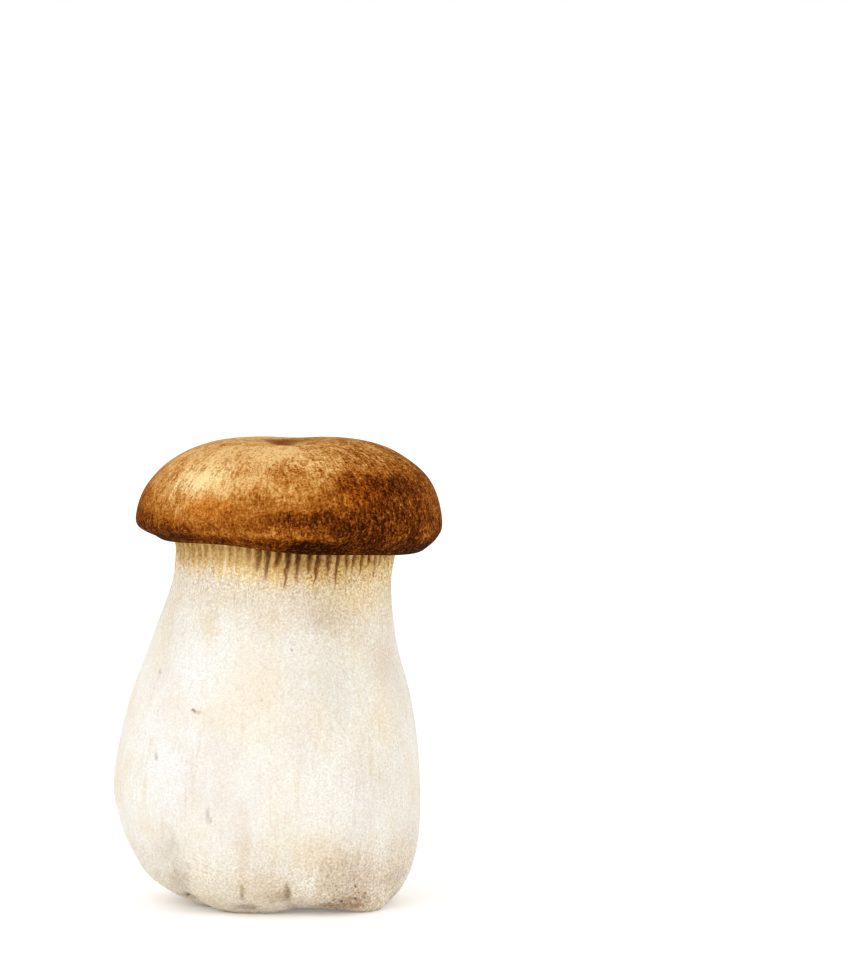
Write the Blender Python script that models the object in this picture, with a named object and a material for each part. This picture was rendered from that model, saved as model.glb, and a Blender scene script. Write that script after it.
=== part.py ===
"""A king oyster mushroom, standing on the cut at the foot of its stem. Metres, +Z up.

It grew as one piece, so it is one object and one closed body: a low, squared-off cap with a
rolled-in margin, a neck, and a thick bulbous stem that bulges to the left. The gills are ribs
raised from the same surface. They fill the trough under the cap and run a little way down the
neck, where the grooves between them fade out at different heights.

The origin is on the cut face, under the middle of the neck. -Y faces the viewer, +X is to the
viewer's right, and an angle round the mushroom is counted from +X, anticlockwise from above.
"""

import math
import random

import bmesh
import bpy
from mathutils import Vector, noise

MM = 0.001
NAME = "king_oyster_mushroom"

# Cap, from the crown out and down to the line where its rolled margin hangs lowest, in millimetres:
# how far it reaches to the left of its axis, at what height, and the same for its right side.
CAP_AXIS_X = 0.6 * MM
CAP_OUTLINE = (
    (3.2, 83.6, 3.2, 83.6),
    (6.6, 83.7, 6.6, 83.7),
    (10.4, 83.8, 10.6, 83.8),
    (14.1, 83.2, 14.5, 83.3),
    (18.0, 81.8, 18.5, 82.0),
    (21.3, 79.9, 22.0, 79.9),
    (23.8, 77.7, 24.6, 77.6),
    (25.8, 75.1, 26.2, 75.1),
    (26.9, 72.5, 27.1, 72.5),
    (27.4, 69.8, 27.5, 69.8),
    (27.0, 68.4, 27.4, 67.6),
    (25.7, 67.5, 26.5, 65.9),
    (23.9, 66.7, 25.2, 64.6),
    (22.9, 66.1, 23.9, 63.7),
    (21.7, 65.9, 22.2, 63.4),
)
CROWN_HEIGHT = 83.5
CAP_FRONT_TO_BACK = 0.96
CAP_WAVE = 0.4 * MM
CAP_WAVE_LENGTH = 24.0 * MM

# Shallow hollows in the crown: how far each is to the right and to the back, its radius and its depth,
# in millimetres.
HOLLOWS = ((0.3, -5.0, 5.5, 1.4), (1.2, 11.0, 4.5, 0.35))

# The margin is drawn up a little in front: angle round the cap in degrees, and rise in millimetres.
MARGIN_RISES = ((241, 0.85), (303, 0.35))
MARGIN_RISE_HALF_WIDTH = math.radians(45.0)
MARGIN_RISE_FULL_BELOW = 67.0 * MM
MARGIN_RISE_GONE_ABOVE = 72.0 * MM

# Stem: height above the cut, then how far it reaches to the left and to the right of the origin.
STEM_OUTLINE = (
    (0.0, 15.6, 18.2),
    (1.2, 18.8, 19.7),
    (2.6, 21.4, 20.9),
    (5.2, 24.9, 22.4),
    (9.1, 27.5, 23.7),
    (14.1, 29.6, 24.4),
    (21.9, 31.0, 24.3),
    (36.3, 28.4, 22.5),
    (47.7, 23.9, 20.1),
    (57.5, 20.2, 19.1),
    (64.5, 19.4, 20.0),
)
STEM_FRONT_TO_BACK = 0.96
STEM_WAVE = 0.5 * MM
STEM_WAVE_LENGTH = 22.0 * MM

# Lobes that swell out just above the cut: angle round the stem in degrees, swelling in millimetres.
LOBES = ((237, 1.2), (316, 2.7), (20, 0.6), (75, 1.4), (150, 0.9))
LOBE_HALF_WIDTH = math.radians(32.0)
LOBE_GONE_ABOVE = 5.0 * MM

# Creases that run up from the cut: angle round the stem in degrees, and depth in millimetres.
CREASES = (
    (10, 0.7), (50, 1.0), (94, 0.7), (131, 1.1), (170, 0.8),
    (216, 1.3), (246, 0.8), (273, 1.3), (345, 0.7),
)
CREASE_HALF_WIDTH = math.radians(11.0)
CREASE_FULL_BELOW = 3.0 * MM
CREASE_GONE_ABOVE = 13.0 * MM

# Between the two front lobes the edge of the cut curls up off the ground.
ARCH_ANGLE = math.radians(283)
ARCH_HALF_WIDTH = math.radians(38)
ARCH_RISE = 1.1 * MM
ARCH_GONE_ABOVE = 4.0 * MM
CUT_FLAT_SHARE = 0.32

# Gills and the grooves between them.
GILL_COUNT = 68
GILL_THICKNESS = 0.85 * MM
GROOVE_WALL = 0.12 * MM
GROOVE_DEPTH = 0.85 * MM
GROOVE_LONGEST_END = 56.5 * MM
GROOVE_SHORTEST_END = 61.0 * MM
GROOVE_FULL_ABOVE = 65.0 * MM
GROOVE_SEED = 7

# The gills' free edge and the trough between two gills, from the margin's lowest line in to the neck:
# how far in from that line and how far above it, in millimetres. Further down both follow the stem.
NECK_RADIUS = 19.7 * MM
MARGIN_RADIUS = 22.0 * MM
MARGIN_HEIGHT = 64.7 * MM
GILL_EDGE = ((0.2, 0.3), (0.6, 0.65), (1.0, 0.8), (1.4, 0.75), (1.8, 0.45), (2.1, -0.1), (2.25, -0.8))
GILL_TROUGH = ((0.2, 0.3), (-0.4, 1.6), (-0.2, 3.1), (0.8, 4.1), (1.9, 4.0), (2.7, 3.0), (3.1, 1.4))
RIB_EDGE_HEIGHTS = (62.8, 61.3, 59.6, 57.8, 56.0)
RIB_TROUGH_HEIGHTS = (64.2, 62.2, 60.2, 58.1, 56.0)

# The heights at which the stem is divided.
STEM_HEIGHTS = (51.0, 46.0, 41.0, 36.0, 31.0, 26.0, 21.0, 16.0, 11.5, 8.0, 5.0, 2.7, 1.1, 0.0)

# Colours, linear, and roughness.
CAP_BROWN = (0.36, 0.155, 0.040)
GILL_STRAW = (0.62, 0.43, 0.19)
STEM_CREAM = (0.88, 0.83, 0.73)
CAP_ROUGHNESS = 0.5
FLESH_ROUGHNESS = 0.75
SMOOTH_UNDER = math.radians(32)


def clear_scene():
    for obj in list(bpy.data.objects):
        bpy.data.objects.remove(obj)


def smooth_step(value):
    """0 below 0, 1 above 1, and a smooth rise between."""
    value = min(max(value, 0.0), 1.0)
    return value * value * (3 - 2 * value)


def wave(angle, height, size, length):
    """A slow unevenness of the skin, as far as size in or out, with swellings about length apart."""
    turn = NECK_RADIUS / length
    return size * noise.noise(Vector((turn * math.cos(angle), turn * math.sin(angle), height / length)))


def stem_reach(height):
    """How far the stem reaches to the left and right at a height, on a smooth curve through its outline."""
    points = STEM_OUTLINE
    level = min(max(height / MM, points[0][0]), points[-1][0])
    i = max(k for k in range(len(points) - 1) if points[k][0] <= level)
    before, low, high, after = (points[min(max(k, 0), len(points) - 1)] for k in range(i - 1, i + 3))
    span = high[0] - low[0]
    t = (level - low[0]) / span
    reach = []
    for side in (1, 2):
        slope_low = (high[side] - before[side]) / (high[0] - before[0]) * span
        slope_high = (after[side] - low[side]) / (after[0] - low[0]) * span
        reach.append(
            MM * (
                (2 * t**3 - 3 * t**2 + 1) * low[side]
                + (t**3 - 2 * t**2 + t) * slope_low
                + (3 * t**2 - 2 * t**3) * high[side]
                + (t**3 - t**2) * slope_high
            )
        )
    return reach


def swell(angle, places, half_width):
    """The sum of rounded swellings, each at its own angle round the mushroom."""
    total = 0.0
    for degrees, millimetres in places:
        away = abs(math.remainder(angle - math.radians(degrees), math.tau))
        total += millimetres * MM * smooth_step(1 - away / half_width)
    return total


def stem_point(angle, height, proud=0.0):
    """A point of the stem's skin, or proud of it if that is above 0."""
    left, right = stem_reach(height)
    reach = (left + right) / 2 + proud
    reach += wave(angle, height, STEM_WAVE, STEM_WAVE_LENGTH)
    reach += swell(angle, LOBES, LOBE_HALF_WIDTH) * smooth_step(1 - height / LOBE_GONE_ABOVE)
    crease_fade = (CREASE_GONE_ABOVE - height) / (CREASE_GONE_ABOVE - CREASE_FULL_BELOW)
    reach -= swell(angle, CREASES, CREASE_HALF_WIDTH) * smooth_step(crease_fade)
    arch = smooth_step(1 - abs(math.remainder(angle - ARCH_ANGLE, math.tau)) / ARCH_HALF_WIDTH)
    return Vector((
        (right - left) / 2 + reach * math.cos(angle),
        STEM_FRONT_TO_BACK * reach * math.sin(angle),
        height + ARCH_RISE * arch * smooth_step(1 - height / ARCH_GONE_ABOVE),
    ))


def hollow_depth(x, y):
    """How far the hollows in the crown take the skin down at a place."""
    total = 0.0
    for to_right, to_back, radius, depth in HOLLOWS:
        away = math.hypot(x / MM - to_right, y / MM - to_back) / radius
        total += depth * MM * math.exp(-away**2)
    return total


def cap_point(angle, outline_row, inward=0.0, rise=0.0):
    """A point of the cap on a row of its outline, or in from that and above it. The cap is uneven
    towards its margin and hollowed on top."""
    left, left_height, right, right_height = (MM * value for value in outline_row)
    rightness = (1 + math.cos(angle)) / 2
    reach = left + (right - left) * rightness - inward
    height = left_height + (right_height - left_height) * rightness + rise
    reach += reach / NECK_RADIUS * wave(angle, height, CAP_WAVE, CAP_WAVE_LENGTH)
    rise_fade = (MARGIN_RISE_GONE_ABOVE - height) / (MARGIN_RISE_GONE_ABOVE - MARGIN_RISE_FULL_BELOW)
    height += swell(angle, MARGIN_RISES, MARGIN_RISE_HALF_WIDTH) * smooth_step(rise_fade)
    x = reach * math.cos(angle)
    y = CAP_FRONT_TO_BACK * reach * math.sin(angle)
    return Vector((CAP_AXIS_X + x, y, height - hollow_depth(x, y)))


def gill_angle(k):
    return math.tau * k / GILL_COUNT


def cap_rings():
    """Rings down the outside of the cap, from near its top to the lowest line of its margin."""
    return [[cap_point(gill_angle(k), row) for k in range(GILL_COUNT)] for row in CAP_OUTLINE]


def groove_ends():
    """The height at which each groove runs out on the neck."""
    draw = random.Random(GROOVE_SEED)
    return [draw.uniform(GROOVE_LONGEST_END, GROOVE_SHORTEST_END) for _ in range(GILL_COUNT)]


def under_cap_point(angle, inward, rise, share):
    """A point in from the margin and above it, which follows the cap at share 1 and the stem at share 0."""
    on_cap = cap_point(angle, CAP_OUTLINE[-1], inward, rise)
    on_stem = stem_point(angle, MARGIN_HEIGHT + rise, MARGIN_RADIUS - inward - NECK_RADIUS)
    return on_stem.lerp(on_cap, share)


def gill_sides(k):
    """The angles of a gill's two sides, and of the trough's two sides after it."""
    half_gill = GILL_THICKNESS / 2 / NECK_RADIUS
    half_foot = half_gill + GROOVE_WALL / NECK_RADIUS
    here, after = gill_angle(k), gill_angle(k + 1)
    return (here - half_gill, here + half_gill), (here + half_foot, after - half_foot)


def hanging_gill_rings():
    """Rings from the margin in to the neck, each with four points a gill: two on its free edge, and
    two at the bottom of the trough after it."""
    rings = []
    for i, (edge, trough) in enumerate(zip(GILL_EDGE, GILL_TROUGH)):
        share = 1 - smooth_step(i / (len(GILL_EDGE) - 1))
        ring = []
        for k in range(GILL_COUNT):
            for angles, (inward, rise) in zip(gill_sides(k), (edge, trough)):
                ring += [under_cap_point(angle, inward * MM, rise * MM, share) for angle in angles]
        rings.append(ring)
    return rings


def neck_rib_rings():
    """Rings down the neck, where the grooves between the ribs grow shallow and run out."""
    ends = groove_ends()
    rings = []
    for edge_height, trough_height in zip(RIB_EDGE_HEIGHTS, RIB_TROUGH_HEIGHTS):
        ring = []
        for k in range(GILL_COUNT):
            on_edge, in_trough = gill_sides(k)
            ring += [stem_point(angle, edge_height * MM) for angle in on_edge]
            height = trough_height * MM
            depth = GROOVE_DEPTH * smooth_step((height - ends[k]) / (GROOVE_FULL_ABOVE - ends[k]))
            ring += [stem_point(angle, height, -depth) for angle in in_trough]
        rings.append(ring)
    return rings


def stem_rings():
    """Rings down the stem, from under the ribs to the edge of the cut face."""
    return [[stem_point(gill_angle(k), height * MM) for k in range(GILL_COUNT)] for height in STEM_HEIGHTS]


def cut_ring(rim):
    """A ring inside the edge of the cut, flat on the ground."""
    return [Vector((CUT_FLAT_SHARE * point.x, CUT_FLAT_SHARE * point.y, 0.0)) for point in rim]


def bridge(mesh, upper, lower, material):
    """Fills the band between two rings of vertices with triangles, whatever the counts."""
    i = 0
    j = 0
    while i < len(upper) or j < len(lower):
        here, below = upper[i % len(upper)], lower[j % len(lower)]
        if (i + 1) * len(lower) <= (j + 1) * len(upper):
            i += 1
            face = mesh.faces.new((here, below, upper[i % len(upper)]))
        else:
            j += 1
            face = mesh.faces.new((here, below, lower[j % len(lower)]))
        face.material_index = material


def fan(mesh, centre, ring, material):
    """Closes a ring with triangles round a centre, facing the side from which it runs anticlockwise."""
    for k in range(len(ring)):
        face = mesh.faces.new((centre, ring[k], ring[(k + 1) % len(ring)]))
        face.material_index = material


def finish_material(name, colour, roughness):
    material = bpy.data.materials.new(name)
    material.use_nodes = True
    shader = material.node_tree.nodes["Principled BSDF"]
    shader.inputs["Base Color"].default_value = (*colour, 1.0)
    shader.inputs["Roughness"].default_value = roughness
    shader.inputs["Metallic"].default_value = 0.0
    return material


def build_mushroom():
    mesh = bmesh.new()
    stem = stem_rings()
    zones = (cap_rings(), hanging_gill_rings() + neck_rib_rings(), stem + [cut_ring(stem[-1])])
    rings = []
    for zone, points in enumerate(zones):
        rings += [([mesh.verts.new(point) for point in ring], zone) for ring in points]
    top = mesh.verts.new(cap_point(0.0, (0.0, CROWN_HEIGHT, 0.0, CROWN_HEIGHT)))
    cut_centre = mesh.verts.new(Vector((0.0, 0.0, 0.0)))
    fan(mesh, top, rings[0][0], 0)
    for (upper, _), (lower, zone) in zip(rings, rings[1:]):
        bridge(mesh, upper, lower, zone)
    fan(mesh, cut_centre, rings[-1][0][::-1], len(zones) - 1)

    data = bpy.data.meshes.new(NAME)
    mesh.to_mesh(data)
    mesh.free()
    data.materials.append(finish_material("cap_skin", CAP_BROWN, CAP_ROUGHNESS))
    data.materials.append(finish_material("gills", GILL_STRAW, FLESH_ROUGHNESS))
    data.materials.append(finish_material("stem_flesh", STEM_CREAM, FLESH_ROUGHNESS))
    data.shade_smooth()
    data.set_sharp_from_angle(angle=SMOOTH_UNDER)
    mushroom = bpy.data.objects.new(NAME, data)
    bpy.context.scene.collection.objects.link(mushroom)


clear_scene()
build_mushroom()
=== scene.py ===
import math
import random

import bpy
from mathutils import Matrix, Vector, noise


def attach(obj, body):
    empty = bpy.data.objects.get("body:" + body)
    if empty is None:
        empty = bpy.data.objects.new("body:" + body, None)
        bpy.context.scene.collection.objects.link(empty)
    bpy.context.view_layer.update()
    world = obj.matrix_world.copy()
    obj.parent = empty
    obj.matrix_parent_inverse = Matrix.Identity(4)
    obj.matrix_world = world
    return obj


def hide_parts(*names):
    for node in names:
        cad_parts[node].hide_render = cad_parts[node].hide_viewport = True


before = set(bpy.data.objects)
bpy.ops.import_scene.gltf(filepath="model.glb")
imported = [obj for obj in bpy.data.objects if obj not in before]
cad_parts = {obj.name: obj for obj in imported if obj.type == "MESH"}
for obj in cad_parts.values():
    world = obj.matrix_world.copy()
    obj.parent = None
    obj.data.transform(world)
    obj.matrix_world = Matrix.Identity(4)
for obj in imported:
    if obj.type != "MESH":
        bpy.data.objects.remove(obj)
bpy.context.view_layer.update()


# The rough form of the mushroom.
# It grew as one piece from a bud: stem, gills and cap are the same pale flesh, and only the cap has a
# brown skin. Half of its outline is drawn from the crown out, in to the gills and down to the middle
# of the cut, and spun round its axis. The next sections give the rows of each part their shape.

MM = 0.001
GILL_COUNT = 68
COLUMNS_PER_GILL = 8
COLUMNS = GILL_COUNT * COLUMNS_PER_GILL
CAP_ROWS = 60
HANGING_GILL_ROWS = 18
NECK_RIB_ROWS = 24
STEM_ROWS = 60
CUT_ROWS = 5

first_gill_row = 1 + CAP_ROWS
first_rib_row = first_gill_row + HANGING_GILL_ROWS
first_stem_row = first_rib_row + NECK_RIB_ROWS
first_cut_row = first_stem_row + STEM_ROWS

# The rough sizes, in millimetres.
CROWN_HEIGHT = 83.5
SHOULDER_HEIGHT = 66.0
SHOULDER_RADIUS = 27.0
ROUGH_NECK_RADIUS = 20.0
RIB_FOOT_HEIGHT = 55.5
BULB = 6.0
CUT_RADIUS = 16.0


def straight_run(start, step, count):
    """Points of the outline in even steps: distance from the axis, and height."""
    return [(start[0] + step[0] * k, start[1] + step[1] * k) for k in range(count)]


rough_outline = [(0.0, CROWN_HEIGHT)]
for k in range(1, CAP_ROWS + 1):
    turn = math.pi * k / 2 / CAP_ROWS
    height = SHOULDER_HEIGHT + (CROWN_HEIGHT - SHOULDER_HEIGHT) * math.cos(turn)
    rough_outline.append((SHOULDER_RADIUS * math.sin(turn), height))
rough_outline += straight_run((26.5, 65.5), (-0.35, -0.05), HANGING_GILL_ROWS)
rough_outline += straight_run((ROUGH_NECK_RADIUS, 64.2), (0.0, -0.35), NECK_RIB_ROWS)
for k in range(STEM_ROWS):
    radius = ROUGH_NECK_RADIUS + BULB * math.sin(math.pi * k / STEM_ROWS)
    rough_outline.append((radius, RIB_FOOT_HEIGHT - RIB_FOOT_HEIGHT * k / (STEM_ROWS - 1)))
rough_outline += [(CUT_RADIUS - CUT_RADIUS * (k + 1) / (CUT_ROWS + 1), 0.0) for k in range(CUT_ROWS)]
rough_outline += [(0.0, 0.0)]

bpy.ops.object.select_all(action="DESELECT")
bpy.ops.mesh.primitive_plane_add(size=MM)
mushroom = bpy.context.object
mushroom.name = "mushroom"
bpy.ops.object.mode_set(mode="EDIT")
bpy.ops.mesh.merge(type="CENTER")
bpy.ops.transform.translate(value=(0.0, 0.0, CROWN_HEIGHT * MM))
for (radius, height), (next_radius, next_height) in zip(rough_outline, rough_outline[1:]):
    to_next = ((next_radius - radius) * MM, 0.0, (next_height - height) * MM)
    bpy.ops.mesh.extrude_region_move(TRANSFORM_OT_translate={"value": to_next})
bpy.ops.object.mode_set(mode="OBJECT")

# Each vertex keeps the number of its row through the spin.
row_layer = mushroom.data.attributes.new("row", "INT", "POINT")
for vertex, entry in zip(mushroom.data.vertices, row_layer.data):
    distances = [math.hypot(vertex.co.x - radius * MM, vertex.co.z - height * MM)
                 for radius, height in rough_outline]
    entry.value = distances.index(min(distances))
bpy.ops.object.mode_set(mode="EDIT")
bpy.ops.mesh.select_all(action="SELECT")
bpy.ops.mesh.spin(steps=COLUMNS, angle=math.tau, center=(0.0, 0.0, 0.0), axis=(0.0, 0.0, 1.0))
bpy.ops.mesh.select_all(action="SELECT")
bpy.ops.mesh.remove_doubles(threshold=0.001 * MM)
bpy.ops.mesh.normals_make_consistent(inside=False)
bpy.ops.object.mode_set(mode="OBJECT")

rows = [entry.value for entry in mushroom.data.attributes["row"].data]
columns = [round(math.atan2(vertex.co.y, vertex.co.x) / math.tau * COLUMNS) % COLUMNS
           for vertex in mushroom.data.vertices]


# The cap.
# A low bun with steep shoulders and a rolled-in margin that hangs a little lower on the right. Its
# crown has a small pit, left from its first days as a button. In millimetres, from the crown out and
# down: how far the skin reaches to the left of the axis, at what height, and the same on the right.

cap_outline = (
    (0.0, 83.5, 0.0, 83.5),
    (3.2, 83.6, 3.2, 83.6),
    (6.6, 83.7, 6.6, 83.7),
    (10.4, 83.8, 10.6, 83.8),
    (14.1, 83.2, 14.5, 83.3),
    (18.0, 81.8, 18.5, 82.0),
    (21.3, 79.9, 22.0, 79.9),
    (23.8, 77.7, 24.6, 77.6),
    (25.8, 75.1, 26.2, 75.1),
    (26.9, 72.5, 27.1, 72.5),
    (27.4, 69.8, 27.5, 69.8),
    (27.0, 68.4, 27.4, 67.6),
    (25.7, 67.5, 26.5, 65.9),
    (23.9, 66.7, 25.2, 64.6),
    (22.9, 66.1, 23.9, 63.7),
    (21.7, 65.9, 22.2, 63.4),
)
CAP_AXIS_X = 0.6 * MM
CAP_FRONT_TO_BACK = 0.96
CAP_RADIUS = 27.0 * MM
CAP_WAVE = 0.4 * MM
CAP_WAVE_LENGTH = 24.0 * MM
CAP_RIPPLE = 0.16 * MM
CAP_RIPPLE_LENGTH = 6.5 * MM
NECK_RADIUS = 19.7 * MM

# Hollows in the crown: how far each is to the right and to the back, its radius and its depth. The
# margin is drawn up a little at two angles in front, given in degrees and millimetres.
crown_hollows = ((0.3, -5.0, 5.5, 1.4), (1.2, 11.0, 4.5, 0.35), (-1.0, 0.2, 2.3, 0.7))
margin_rises = ((241, 0.85), (303, 0.35))
MARGIN_RISE_HALF_WIDTH = math.radians(45)
MARGIN_RISE_TOP = 72.0 * MM
MARGIN_RISE_FADE = 5.0 * MM


def ease(value):
    """0 below 0, 1 above 1, and a smooth rise between."""
    value = min(max(value, 0.0), 1.0)
    return value * value * (3 - 2 * value)


def swelling(angle, height, size, length):
    """A slow unevenness of the skin, with swellings about length apart."""
    turn = NECK_RADIUS / length
    return size * noise.noise(Vector((turn * math.cos(angle), turn * math.sin(angle), height / length)))


def along(points, place):
    """The point at a place along a list of points, on a smooth curve through them."""
    i = min(int(place), len(points) - 2)
    t = place - i
    a, b, c, d = (Vector(points[min(max(k, 0), len(points) - 1)]) for k in range(i - 1, i + 3))
    return (b * 2 + (c - a) * t + (a * 2 - b * 5 + c * 4 - d) * t**2 + (b * 3 - a - c * 3 + d) * t**3) / 2


def swell(angle, places, half_width):
    """The sum of rounded swellings, each at its own angle round the mushroom."""
    total = 0.0
    for degrees, millimetres in places:
        away = abs(math.remainder(angle - math.radians(degrees), math.tau))
        total += millimetres * MM * ease(1 - away / half_width)
    return total


def hollow_depth(x, y):
    """How far the hollows in the crown take the skin down at a place."""
    return sum(depth * MM * math.exp(-(math.hypot(x / MM - to_right, y / MM - to_back) / radius)**2)
               for to_right, to_back, radius, depth in crown_hollows)


def cap_point(angle, outline_values, inward=0.0, rise=0.0):
    """A point of the cap's skin on its outline, or in from that and above it."""
    left, left_height, right, right_height = (MM * value for value in outline_values)
    rightness = (1 + math.cos(angle)) / 2
    reach = left + (right - left) * rightness - inward
    height = left_height + (right_height - left_height) * rightness + rise
    reach += reach / NECK_RADIUS * swelling(angle, height, CAP_WAVE, CAP_WAVE_LENGTH)
    reach += reach / CAP_RADIUS * swelling(angle, height, CAP_RIPPLE, CAP_RIPPLE_LENGTH)
    low_share = ease((MARGIN_RISE_TOP - height) / MARGIN_RISE_FADE)
    height += swell(angle, margin_rises, MARGIN_RISE_HALF_WIDTH) * low_share
    x = reach * math.cos(angle)
    y = CAP_FRONT_TO_BACK * reach * math.sin(angle)
    return Vector((CAP_AXIS_X + x, y, height - hollow_depth(x, y)))


# How far down the cap a point lies, from 0 at the crown to 1 at the margin, is kept for its colours.
down_layer = mushroom.data.attributes.new("down", "FLOAT", "POINT")
for vertex, row, column, down in zip(mushroom.data.vertices, rows, columns, down_layer.data):
    down.value = row / CAP_ROWS
    if row < first_gill_row:
        outline_values = along(cap_outline, row * (len(cap_outline) - 1) / CAP_ROWS)
        vertex.co = cap_point(math.tau * column / COLUMNS, outline_values)


# The stem and its foot.
# Firm white flesh, narrow at the neck and swollen into a bulb that leans out to the left, then drawn
# in to the cut. Lobes and creases run up from the cut, where it was crowded as it grew. The outline
# gives the height above the cut in millimetres, then the reach to the left and to the right.

stem_outline = (
    (0.0, 15.6, 18.2),
    (1.2, 18.8, 19.7),
    (2.6, 21.4, 20.9),
    (5.2, 24.9, 22.4),
    (9.1, 27.5, 23.7),
    (14.1, 29.6, 24.4),
    (21.9, 31.0, 24.3),
    (36.3, 28.4, 22.5),
    (47.7, 23.9, 20.1),
    (57.5, 20.2, 19.1),
    (64.5, 19.4, 20.0),
)
STEM_FRONT_TO_BACK = 0.96
STEM_WAVE = 0.5 * MM
STEM_WAVE_LENGTH = 22.0 * MM
STEM_RIPPLE = 0.14 * MM
STEM_RIPPLE_LENGTH = 3.5 * MM
STEM_RIPPLE_STRETCH = 3.5

# Lobes and creases above the cut: angle round the stem in degrees, and how far each stands out or in.
foot_lobes = ((237, 1.2), (316, 2.7), (20, 0.6), (75, 1.4), (150, 0.9))
foot_creases = (
    (10, 0.7), (50, 1.0), (94, 0.7), (131, 1.1), (170, 0.8),
    (216, 1.3), (246, 0.8), (273, 1.3), (345, 0.7),
)
fine_creases = (
    (251, 0.5), (272, 0.6), (208, 0.35), (224, 0.4), (233, 0.25), (254, 0.35), (263, 0.3),
    (281, 0.5), (291, 0.25), (303, 0.4), (322, 0.3), (331, 0.35), (2, 0.3), (28, 0.4),
    (62, 0.3), (81, 0.35), (108, 0.4), (146, 0.3), (186, 0.35),
)
LOBE_HALF_WIDTH = math.radians(32)
LOBE_TOP = 5.0 * MM
CREASE_HALF_WIDTH = math.radians(11)
CREASE_TOP = 13.0 * MM
CREASE_FADE = 10.0 * MM
FINE_CREASE_HALF_WIDTH = math.radians(3.4)
FINE_CREASE_TOP = 9.0 * MM
FINE_CREASE_FADE = 8.0 * MM

# Between the two front lobes the edge of the cut curls up off the ground.
CURL_ANGLE = math.radians(283)
CURL_HALF_WIDTH = math.radians(38)
CURL_RISE = 1.1 * MM
CURL_TOP = 4.0 * MM

# The stem's rows start under the ribs and lie closer together towards the cut. The cut is flat in the
# middle and rises from there to its edge.
STEM_TOP = 56.0 * MM
ROW_CROWDING = 1.25
CUT_FLAT_SHARE = 0.32
CUT_RISING_SHARE = 0.68


def stem_reach(height):
    """How far the stem reaches to the left and right at a height, on a smooth curve."""
    points = stem_outline
    level = min(max(height / MM, points[0][0]), points[-1][0])
    i = max(k for k in range(len(points) - 1) if points[k][0] <= level)
    before, low, high, after = (points[min(max(k, 0), len(points) - 1)] for k in range(i - 1, i + 3))
    span = high[0] - low[0]
    t = (level - low[0]) / span
    reach = []
    for side in (1, 2):
        slope_low = (high[side] - before[side]) / (high[0] - before[0]) * span
        slope_high = (after[side] - low[side]) / (after[0] - low[0]) * span
        reach.append(MM * ((2 * t**3 - 3 * t**2 + 1) * low[side] + (t**3 - 2 * t**2 + t) * slope_low
                           + (3 * t**2 - 2 * t**3) * high[side] + (t**3 - t**2) * slope_high))
    return reach


def stem_point(angle, height, proud=0.0):
    """A point of the stem's skin, or proud of it if that is above 0."""
    left, right = stem_reach(height)
    reach = (left + right) / 2 + proud
    reach += swelling(angle, height, STEM_WAVE, STEM_WAVE_LENGTH)
    reach += swelling(angle, height / STEM_RIPPLE_STRETCH, STEM_RIPPLE, STEM_RIPPLE_LENGTH)
    reach += swell(angle, foot_lobes, LOBE_HALF_WIDTH) * ease(1 - height / LOBE_TOP)
    reach -= swell(angle, foot_creases, CREASE_HALF_WIDTH) * ease((CREASE_TOP - height) / CREASE_FADE)
    fine_share = ease((FINE_CREASE_TOP - height) / FINE_CREASE_FADE)
    reach -= swell(angle, fine_creases, FINE_CREASE_HALF_WIDTH) * fine_share
    curl = ease(1 - abs(math.remainder(angle - CURL_ANGLE, math.tau)) / CURL_HALF_WIDTH)
    return Vector((
        (right - left) / 2 + reach * math.cos(angle),
        STEM_FRONT_TO_BACK * reach * math.sin(angle),
        height + CURL_RISE * curl * ease(1 - height / CURL_TOP),
    ))


for vertex, row, column in zip(mushroom.data.vertices, rows, columns):
    angle = math.tau * column / COLUMNS
    if first_stem_row <= row < first_cut_row:
        share = (row - first_stem_row + 1) / STEM_ROWS
        vertex.co = stem_point(angle, STEM_TOP * (1 - share)**ROW_CROWDING)
    if row >= first_cut_row:
        rim = stem_point(angle, 0.0)
        share = 1 - (row - first_cut_row + 1) / (CUT_ROWS + 1)
        lift = rim.z * ease((share - CUT_FLAT_SHARE) / CUT_RISING_SHARE)
        vertex.co = (rim.x * share, rim.y * share, lift)


# The gills.
# Thin pale blades that hang under the cap from its margin in to the stem, and run a little way down
# the neck as low ribs. The grooves between them narrow to points and run out at different heights.

# The free edge of a gill and the trough between two, in millimetres in from the margin's lowest line
# and above it. On the neck: the height of an edge, and of the trough beside it.
gill_edge = ((0.0, 0.0), (0.2, 0.3), (0.6, 0.65), (1.0, 0.8), (1.4, 0.75), (1.8, 0.45), (2.1, -0.1),
             (2.25, -0.8))
gill_trough = ((0.0, 0.0), (0.2, 0.3), (-0.4, 1.6), (-0.2, 3.1), (0.8, 4.1), (1.9, 4.0), (2.7, 3.0),
               (3.1, 1.4))
neck_heights = ((63.9, 66.1), (62.8, 64.2), (61.3, 62.2), (59.6, 60.2), (57.8, 58.1), (56.0, 56.0))
MARGIN_HEIGHT = 64.7 * MM
MARGIN_RADIUS = 22.0 * MM
GROOVE_TOP = 66.0 * MM
EVEN_BELOW = 55.0 * MM
EVEN_FADE = 3.0 * MM

GROOVE_SEED = 7
draw = random.Random(GROOVE_SEED)
groove_end = [draw.uniform(56.0, 61.6) * MM for _ in range(GILL_COUNT)]
groove_width = [draw.uniform(0.8, 1.2) for _ in range(GILL_COUNT)]
groove_depth = [draw.uniform(0.8, 1.25) * MM for _ in range(GILL_COUNT)]
groove_centre = [0.5 + draw.uniform(-0.09, 0.09) for _ in range(GILL_COUNT)]
groove_drift = [draw.uniform(-0.16, 0.16) for _ in range(GILL_COUNT)]

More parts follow.
